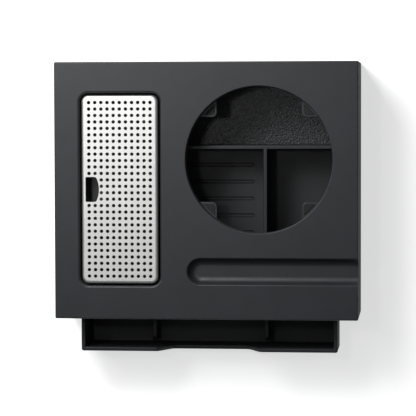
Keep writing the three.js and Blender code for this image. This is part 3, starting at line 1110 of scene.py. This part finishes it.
@dataclass
class BasePlate(SubAssembly):
    """The floor of the station, with its screw holes and leather grain."""

    body: str = "cabinet"
    finish: Finish = BASE_ABS
    corner: float = 2.0
    edge: float = 0.4
    screw_clearance: float = 0.4
    screw_shank: float = 1.25
    screw_head: float = 1.6
    stem_hole: float = 2.9
    pilot: float = 1.4
    pilot_floor: float = 0.6

    def build(self) -> Pieces:
        """Builds the plate and drills it for the screws and the feet.

        Returns:
            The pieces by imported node.
        """
        place = Place.of("base_plate")
        bottom, top = place.low.z, place.high.z
        sheet = slab(0.0, bottom, top, self.edge, self.edge)
        plate = lofted("base_plate_grained", [place.plan(self.corner)], sheet)
        screws = places("base_screw", 6)
        head = screws[0].size.x / 2 + self.screw_clearance
        shank = self.screw_shank + self.screw_clearance
        seat = bottom + self.screw_head + TOUCH
        sunk = [(0.3, bottom - SUNK), (0.3, bottom), (0.0, bottom + 0.3), (0.0, seat)]
        heads = rounds("head_beds", screws, head, 32, sunk)
        through = flared(bottom, top)
        shanks = rounds("shank_holes", screws, shank, 20, through)
        stems = rounds("stem_holes", places("foot", 4), self.stem_hole, 24, through)
        bore = [(0.0, bottom + self.pilot_floor), (0.0, top + SUNK)]
        pilots = rounds("pilot_holes", places("runner_screw", 4), self.pilot, 16, bore)
        worked(plate, Cut.REMOVE, heads, shanks, stems, pilots)
        return {"base_plate": plate}


@dataclass
class Drawer(SubAssembly):
    """The drawer: one moulding with two dividers, a finger dip and a grooved middle floor."""

    body: str = "sliding_drawer"
    # a darker plastic than the housing's, as painted shade for the drawer's inside
    finish: Finish = DRAWER_ABS_PAINTED_SHADE
    wall: float = 4.0
    floor: float = 2.5
    corner: float = 2.0
    rim: float = 0.9
    edge: float = 1.2
    fillet: float = 3.0
    flange_width: float = 4.0
    flange_height: float = 2.0
    flange_start: float = 5.0  # behind the housing's front
    nib_reach: float = 6.0
    nib_length: float = 9.8
    nib_height: float = 8.0
    nib_drop: float = 6.0
    nib_from_back: float = 64.6  # 0.2 short of the stop, so that the faces stay apart
    divider_apart: float = 115.5
    divider_thickness: float = 4.0
    divider_dip: float = 19.0
    divider_slope: float = 34.0
    divider_front_gap: float = 5.0
    divider_front_round: float = 6.0
    divider_back_gap: float = 1.6
    divider_level: float = 10.0  # the low part's length, from the nose to the slope
    dip_width: float = 108.0
    dip_depth: float = 25.0
    dip_shoulder: float = 18.0
    groove_count: int = 9
    groove_pitch: float = 17.5
    groove_first: float = 17.0
    groove_length: float = 85.4
    groove_width: float = 3.4
    groove_depth: float = 1.3
    groove_round: float = 0.7
    groove_lip: float = 0.3

    def build(self) -> Pieces:
        """Builds the tray, joins what stands on it, and cuts the dip and the grooves.

        Returns:
            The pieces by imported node.
        """
        packed = Place.of("drawer")
        side = Vector((self.nib_reach, 0, 0))
        place = Place(packed.low + side, packed.high - side)
        low, rim, wall = place.low.z, place.high.z, self.wall
        inner = low + self.floor
        top = [
            *arc(-self.rim, rim - self.rim, self.rim, 0, 90, 4),
            *arc(-wall + self.rim, rim - self.rim, self.rim, 90, 180, 4),
        ]
        bottom = arc(-self.edge, low + self.edge, self.edge, 270, 360, 4)
        inside = arc(-wall - self.fillet, inner + self.fillet, self.fillet, 0, -90, 6)
        tray = lofted("drawer_tray", [place.plan(self.corner)], [*bottom, *top, *inside])
        worked(tray, Cut.JOIN, *self.outside_fittings(place))
        worked(tray, Cut.JOIN, *self.dividers(place, inner))
        worked(tray, Cut.REMOVE, self.finger_dip(place), self.floor_grooves(place, inner))
        return {"drawer": tray}

    def outside_fittings(self, place: Place) -> Iterable[Piece]:
        """Makes the two side flanges and the two nibs that stop the drawer.

        Args:
            place: Where the drawer is, without its nibs.

        Returns:
            The solids, one by one.
        """
        front = Place.of("housing").low.y + self.flange_start
        back = place.high.y
        flanges, nibs = [], []
        nib_y = back - self.nib_from_back + self.nib_length / 2
        for x in (place.low.x, place.high.x):
            out = math.copysign(1, x)
            middle = x + out * (self.flange_width / 2 - SUNK)
            wide = self.flange_width + 2 * SUNK
            flanges.append(RoundedRect(wide, back - front, 1.0, middle, (front + back) / 2, 3))
            middle = x + out * (self.nib_reach / 2 - SUNK)
            nibs.append(RoundedRect(self.nib_reach + 2 * SUNK, self.nib_length, 1.2, middle, nib_y, 3))
        low = place.low.z
        yield lofted("flanges", flanges, slab(0.0, low, low + self.flange_height, 0.3, 0.4))
        nib_top = place.high.z - self.nib_drop
        yield lofted("nibs", nibs, slab(0.0, nib_top - self.nib_height, nib_top, 0.6, 0.6))

    def dividers(self, place: Place, inner: float) -> Iterable[Piece]:
        """Makes the two dividers, full height at the back and lower towards the front.

        Args:
            place: Where the drawer is, without its nibs.
            inner: The level of the drawer's floor.

        Returns:
            The dividers.
        """
        rim = place.high.z
        low = rim - self.divider_dip
        back = place.high.y - self.divider_back_gap
        front = place.low.y + self.wall + self.divider_front_gap
        radius = self.divider_front_round
        slope_end = front + radius + self.divider_level
        slope = bend((slope_end, low), (slope_end + self.divider_slope, rim), 10)
        nose = arc(front + radius, low - radius, radius, 180, 90, 8)
        side = [(front, inner - SUNK), *nose, *slope, (back, rim), (back, inner - SUNK)]
        outline = Drawn(tuple(reversed(side)))
        half = self.divider_thickness / 2
        for centre in (-self.divider_apart / 2, self.divider_apart / 2):
            profile = slab(0.0, centre - half, centre + half, self.rim, self.rim)
            yield lofted("divider", [outline], profile, Lie.ACROSS)

    def finger_dip(self, place: Place) -> Piece:
        """Makes the cutter for the dip in the front wall's top edge.

        Args:
            place: Where the drawer is, without its nibs.

        Returns:
            The cutter.
        """
        rim, front = place.high.z, place.low.y
        half = self.dip_width / 2
        flat = half - self.dip_shoulder
        low = rim - self.dip_depth
        right = bend((flat, low), (half, rim), 12)
        left = [(-x, z) for x, z in reversed(right)]
        above = rim + self.wall
        outline = Drawn((*left, *right, (half, above), (-half, above)))
        through = flared(front, front + self.wall, self.rim, self.rim)
        return lofted("finger_dip", [outline], through, Lie.FACING)

    def floor_grooves(self, place: Place, inner: float) -> Piece:
        """Makes the cutter for the shallow grooves across the middle compartment's floor.

        Args:
            place: Where the drawer is, without its nibs.
            inner: The level of the drawer's floor.

        Returns:
            The cutter.
        """
        first = place.high.y - self.wall - self.groove_first
        outlines = [
            RoundedRect(self.groove_length, self.groove_width, self.groove_width / 2 - 0.05, 0.0, y, 5)
            for y in (first - i * self.groove_pitch for i in range(self.groove_count))
        ]
        floor, lip = inner - self.groove_depth, self.groove_lip
        bed = [(-self.groove_round, floor), (0.0, floor + self.groove_round)]
        return lofted("floor_grooves", outlines, [*bed, (lip, inner + 0.05), (lip, inner + SUNK)])


@dataclass
class DripPan(SubAssembly):
    """The lift-out tub that catches what runs through the grid."""

    body: str = "lift_out_pan"
    finish: Finish = PAN_ABS
    corner: float = 6.0
    wall: float = 1.8
    draft: float = 1.2
    floor: float = 1.8
    fillet: float = 3.0

    def build(self) -> Pieces:
        """Builds the tub with filleted corners and a rounded rim.

        Returns:
            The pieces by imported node.
        """
        place = Place.of("drip_pan")
        low, high = place.low.z, place.high.z
        outer = arc(-self.draft - self.fillet, low + self.fillet, self.fillet, 270, 360, 6)
        lip = self.wall / 2
        rim = arc(-lip, high - lip, lip, 0, 180, 8)
        into = -self.draft - self.wall - self.fillet
        inner = arc(into, low + self.floor + self.fillet, self.fillet, 0, -90, 6)
        tub = lofted("drip_pan_tub", [place.plan(self.corner, 0.0, 10)], [*outer, *rim, *inner])
        return {"drip_pan": tub}


@dataclass
class DripGrid(SubAssembly):
    """The punched stainless cover with a turned-down rim."""

    body: str = "lift_off_grid"
    finish: Finish = STAINLESS
    corner: float = 7.0
    sheet: float = 1.0
    bend_radius: float = 3.0
    columns: int = 11
    rows: int = 28
    pitch_x: float = 6.2
    pitch_y: float = 6.45
    hole: float = 1.7
    punch_edge: float = 0.15
    finger_from_edge: float = 4.0
    finger_width: float = 13.5
    finger_length: float = 25.0
    finger_bulge: float = 3.0
    finger_corner: float = 1.2
    bulge_short: float = 1.5  # how far the bulge ends from the hole's ends

    def build(self) -> Pieces:
        """Bends the sheet's rim down and punches its holes.

        Returns:
            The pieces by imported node.
        """
        place = Place.of("drip_grid")
        low, high, bent = place.low.z, place.high.z, self.bend_radius
        inside = arc(-bent, high - bent, bent - self.sheet, 90, 0, 6)
        foot = arc(-self.sheet / 2, low + self.sheet / 2, self.sheet / 2, 180, 360, 6)
        outside = arc(-bent, high - bent, bent, 0, 90, 10)
        grid = lofted("drip_grid_sheet", [place.plan(self.corner, 0.0, 12)], [*inside, *foot, *outside])
        punch = flared(high - self.sheet, high, 0.0, self.punch_edge)
        worked(grid, Cut.REMOVE, lofted("finger_punch", [self.finger_hole(place)], punch))
        worked(grid, Cut.REMOVE, lofted("hole_punches", self.holes(place), punch))
        return {"drip_grid": grid}

    def holes(self, place: Place) -> list[Circle]:
        """Gives every round hole but those that the finger hole takes.

        Args:
            place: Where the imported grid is.

        Returns:
            The holes.
        """
        reach = place.low.x + self.finger_from_edge + self.finger_width + self.hole
        half = self.finger_length / 2 + self.hole
        found = []
        for row in range(self.rows):
            y = (row - (self.rows - 1) / 2) * self.pitch_y
            for column in range(self.columns):
                x = place.middle.x + (column - (self.columns - 1) / 2) * self.pitch_x
                if x >= reach or abs(y) >= half:
                    found.append(Circle(self.hole, x, place.middle.y + y, 20))
        return found

    def finger_hole(self, place: Place) -> Drawn:
        """Draws the finger hole: straight on the outside, with rounded corners, bulging on the inside.

        Args:
            place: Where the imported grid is.

        Returns:
            The outline.
        """
        left = place.low.x + self.finger_from_edge
        half = self.finger_length / 2
        right = left + self.finger_width - self.finger_bulge
        radius = (half * half + self.finger_bulge**2) / (2 * self.finger_bulge)
        turn = math.degrees(math.asin((half - self.bulge_short) / radius))
        y, nip = place.middle.y, self.finger_corner
        bulge = arc(right + self.finger_bulge - radius, y, radius, -turn, turn, 14)
        corners = [
            *arc(left + nip, y + half - nip, nip, 90, 180, 5),
            *arc(left + nip, y - half + nip, nip, 180, 270, 5),
            *arc(right - nip, y - half + nip, nip, 270, 330, 4),
        ]
        top = arc(right - nip, y + half - nip, nip, 30, 90, 4)
        return Drawn((*corners, *bulge, *top))


@dataclass
class Runners(SubAssembly):
    """The two channel sections that carry the drawer."""

    body: str = "cabinet"
    finish: Finish = RUNNER_ACETAL
    wall: float = 2.4
    lip: float = 2.0
    floor: float = 1.0
    stop: float = 3.0
    ear_length: float = 14.0
    ear_thickness: float = 2.4
    ear_hole: float = 1.55
    flange_width: float = 4.0
    edge: float = 0.25

    def build(self) -> Pieces:
        """Builds the left runner and the right one, its mirror image."""
        return {"runner_left": self.runner("left", -1), "runner_right": self.runner("right", 1)}

    def runner(self, name: str, side: int) -> Piece:
        """Builds one runner: a C section, a stop at its back and two screw ears.

        Args:
            name: Which runner it is.
            side: -1 for the left and 1 for the right.

        Returns:
            The runner.
        """
        place = Place.of(f"runner_{name}")
        low, high, front, back = place.low.z, place.high.z, place.low.y, place.high.y
        near = min(abs(place.low.x), abs(place.high.x))
        rail = near + self.flange_width
        out = rail + self.wall
        lip, tray = high - self.lip, low + self.floor
        outer = [(near, low), (out, low), (out, high), (near, high)]
        section = [*outer, (near, lip), (rail, lip), (rail, tray), (near, tray)]
        points = section if side > 0 else [(-x, z) for x, z in reversed(section)]
        edge = self.edge
        chamfer = [(-edge, front), (0.0, front + edge), (0.0, back - edge), (-edge, back)]
        made = lofted(f"runner_{name}_rail", [Drawn(tuple(points))], chamfer, Lie.FACING)
        middle = side * (near + out) / 2
        wide = out - near
        block = RoundedRect(wide - 0.2, self.stop, 0.4, middle, back - self.stop / 2 - 0.05, 2)
        worked(made, Cut.JOIN, lofted("stop", [block], [(0.0, low + 0.1), (0.0, high - 0.1)]))
        far = max(abs(place.low.x), abs(place.high.x))
        screws = self.screws(side)
        ear_x = side * (out - 2 * SUNK + far) / 2
        wide = far - out + 2 * SUNK
        ears = [RoundedRect(wide, self.ear_length, 2.0, ear_x, s.middle.y, 5) for s in screws]
        top = low + self.ear_thickness
        worked(made, Cut.JOIN, lofted("ears", ears, slab(0.0, low + 0.01, top, 0.3, 0.4)))
        holes = rounds("ear_holes", screws, self.ear_hole, 20, flared(low, top, 0.0, 0.3))
        return worked(made, Cut.REMOVE, holes)

    def screws(self, side: int) -> list[Place]:
        """Gives the places of the two runner screws on one side."""
        return [screw for screw in places("runner_screw", 4) if screw.middle.x * side > 0]


@dataclass
class Feet(SubAssembly):
    """Four rubber feet with stems that push through the base plate."""

    body: str = "cabinet"
    finish: Finish = RUBBER
    stem: float = 2.6
    dish: float = 0.5
    rim: float = 1.0
    shoulder: float = 0.5
    tip: float = 0.6

    def build(self) -> Pieces:
        """Builds each foot: a rounded pad, dished underneath, with a stem.

        Returns:
            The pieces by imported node.
        """
        pieces = {}
        for i, place in enumerate(places("foot", 4), 1):
            radius = place.size.x / 2
            pad_top = Place.of("base_plate").low.z - TOUCH
            dish = [(-radius + 1.0, self.dish), (-3.2, self.dish), (-2.6, 0.0)]
            rim = arc(-self.rim, self.rim, self.rim, 270, 360, 5)
            top = arc(-self.shoulder, pad_top - self.shoulder, self.shoulder, 0, 90, 4)
            inset = self.stem - radius
            end = arc(inset - self.tip, place.high.z - self.tip, self.tip, 0, 90, 4)
            stem = [(inset, pad_top), *end]
            outline = Circle(radius, place.middle.x, place.middle.y, 48)
            pieces[f"foot_{i}"] = lofted(f"foot_rubber_{i}", [outline], [*dish, *rim, *top, *stem])
        return pieces


class ScrewHead(Enum):
    """Which way a screw's head points."""

    DOWN = 1
    UP = -1


@dataclass
class Screws(SubAssembly):
    """A set of cross-recessed self-tapping screws."""

    body: str = "cabinet"
    finish: Finish = ZINC
    prefix: str = "base_screw"
    count: int = 6
    head: ScrewHead = ScrewHead.DOWN
    shank: float = 1.25
    head_height: float = 1.6
    pitch: float = 1.0
    thread_depth: float = 0.22
    recess: float = 1.0
    recess_span: float = 2.1
    recess_width: float = 0.8

    def build(self) -> Pieces:
        """Builds every screw of the set."""
        nodes = [f"{self.prefix}_{i}" for i in range(1, self.count + 1)]
        return {node: self.screw(f"{node}_zinc", Place.of(node)) for node in nodes}

    def screw(self, name: str, place: Place) -> Piece:
        """Builds one screw: a domed head with a cross recess, a threaded shank and a blunt tip.

        Args:
            name: The object's name.
            place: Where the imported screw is.

        Returns:
            The screw.
        """
        way = self.head.value
        start = place.low.z if self.head is ScrewHead.DOWN else place.high.z
        length = place.size.z
        radius = place.size.x / 2
        dome = [(-1.9, 0.0), (-1.2, 0.12), (-0.5, 0.45), (-0.1, 0.95), (0.0, 1.35), (-0.1, self.head_height)]
        thread = [(self.shank - radius, self.head_height)]
        turns = int((length - self.head_height - 1.0) / self.pitch)
        for turn in range(turns):
            base = self.head_height + 0.4 + turn * self.pitch
            core = self.shank - self.thread_depth - radius
            crest = (self.shank - radius, base + 0.35 * self.pitch)
            thread += [(core, base), crest, (core, base + 0.7 * self.pitch)]
        tip = [(self.shank - 0.5 - radius, length - 0.3), (self.shank - 0.9 - radius, length)]
        profile = [(growth, start + way * level) for growth, level in [*dome, *thread, *tip]]
        made = lofted(name, [Circle(radius, place.middle.x, place.middle.y, 32)], profile)
        low, high = sorted((start + way * self.recess, start - way * SUNK))
        x, y = place.middle.x, place.middle.y
        long, short = 2 * self.recess_span, self.recess_width
        bars = [RoundedRect(wide, deep, 0.2, x, y, 2) for wide, deep in ((long, short), (short, long))]
        cross = [lofted("recess", [bar], [(0.0, low), (0.0, high)]) for bar in bars]
        return worked(made, Cut.REMOVE, *cross)


# ---- Studio ----


@dataclass(frozen=True)
class Softbox:
    """One square studio light that faces a point."""

    name: str
    place: tuple[float, float, float]
    aim: tuple[float, float, float]
    side: float
    watts: float

    def light(self) -> None:
        """Hangs the light."""
        lamp = bpy.data.lights.new(self.name, "AREA")
        lamp.shape = "SQUARE"
        lamp.size = self.side
        lamp.energy = self.watts
        made = bpy.data.objects.new(self.name, lamp)
        made.location = self.place
        made.rotation_mode = "QUATERNION"
        towards = Vector(self.aim) - Vector(self.place)
        made.rotation_quaternion = towards.to_track_quat("-Z", "Y")
        bpy.context.scene.collection.objects.link(made)


@dataclass(frozen=True)
class Studio:
    """The board under the station, the lights and the camera almost straight above it."""

    camera_from_top: tuple[float, float, float] = (0.2176, 0.0908, 2.0916)
    camera_turns: tuple[float, float, float] = (-2.9515, 5.8578, 0.1542)  # degrees about X, then Y, then Z
    lens: float = 182.54
    ambient: float = 0.15
    air: str = "f4f6fa"
    board_reach: float = 3000.0
    lights: tuple[Softbox, ...] = (
        Softbox("softbox_back", (-0.35, 0.6, 0.8), (0.0, 0.0, 0.05), 0.4, 7.4),
        Softbox("softbox_back_left", (-0.6, 0.5, 1.1), (0.0, 0.0, 0.05), 0.6, 4.6),
        Softbox("overhead_spot", (-0.1, 0.125, 1.2), (0.0, 0.0, 0.05), 0.08, 0.6),
    )

    def floor(self) -> None:
        """Lays the white board that the station stands on."""
        shape = bmesh.new()
        bmesh.ops.create_grid(shape, x_segments=8, y_segments=8, size=self.board_reach)
        board = from_bmesh("white_board", shape)
        board.data.materials.append(BOARD.material())
        board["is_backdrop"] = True

    def world(self) -> None:
        """Fills the room with soft even light."""
        room = bpy.data.worlds.new("studio_room")
        room.use_nodes = True
        background = room.node_tree.nodes["Background"]
        background.inputs["Color"].default_value = linear(self.air)
        background.inputs["Strength"].default_value = self.ambient
        bpy.context.scene.world = room
        bpy.context.scene.view_settings.view_transform = "Standard"

    def camera(self) -> None:
        """Sets the camera over the right-hand side of the station, aimed at its middle."""
        top = Place.of("housing")
        centre = Vector((top.middle.x, top.middle.y, top.high.z)) * MM
        lens = bpy.data.cameras.new("camera")
        lens.lens = self.lens
        lens.sensor_width = 36.0
        made = bpy.data.objects.new("camera", lens)
        turns = [Matrix.Rotation(math.radians(t), 4, a) for t, a in zip(self.camera_turns, "XYZ")]
        stand = Matrix.Translation(centre + Vector(self.camera_from_top))
        made.matrix_world = stand @ turns[0] @ turns[1] @ turns[2]
        bpy.context.scene.collection.objects.link(made)
        bpy.context.scene.camera = made

    def set_up(self) -> None:
        """Lays the floor, lights the room and sets the camera."""
        self.floor()
        self.world()
        for softbox in self.lights:
            softbox.light()
        self.camera()


def corners(box: tuple[Vector, Vector]) -> list[list[float]]:
    """Gives a box's two corners as plain lists."""
    return [list(corner) for corner in box]


def main() -> None:
    """Builds the station in order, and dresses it."""
    logging.basicConfig(level=logging.INFO, format="%(name)s: %(message)s")
    Studio().set_up()
    station: Sequence[Callable[[], SubAssembly]] = (
        Housing,
        SeatPads,
        BasePlate,
        Drawer,
        DripPan,
        DripGrid,
        Runners,
        Feet,
        Screws,
        lambda: Screws(prefix="runner_screw", count=4, head=ScrewHead.UP),
    )
    for make in station:
        assembly = make()
        pieces = assembly.build()
        assembly.dress(pieces)
        for node, piece in pieces.items():
            log.info("%s stands for %s: %d faces", piece.name, node, len(piece.data.polygons))
    {"cad": corners(CAD_BOX), "visual": corners(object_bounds())}


if __name__ == "__main__":
    main()
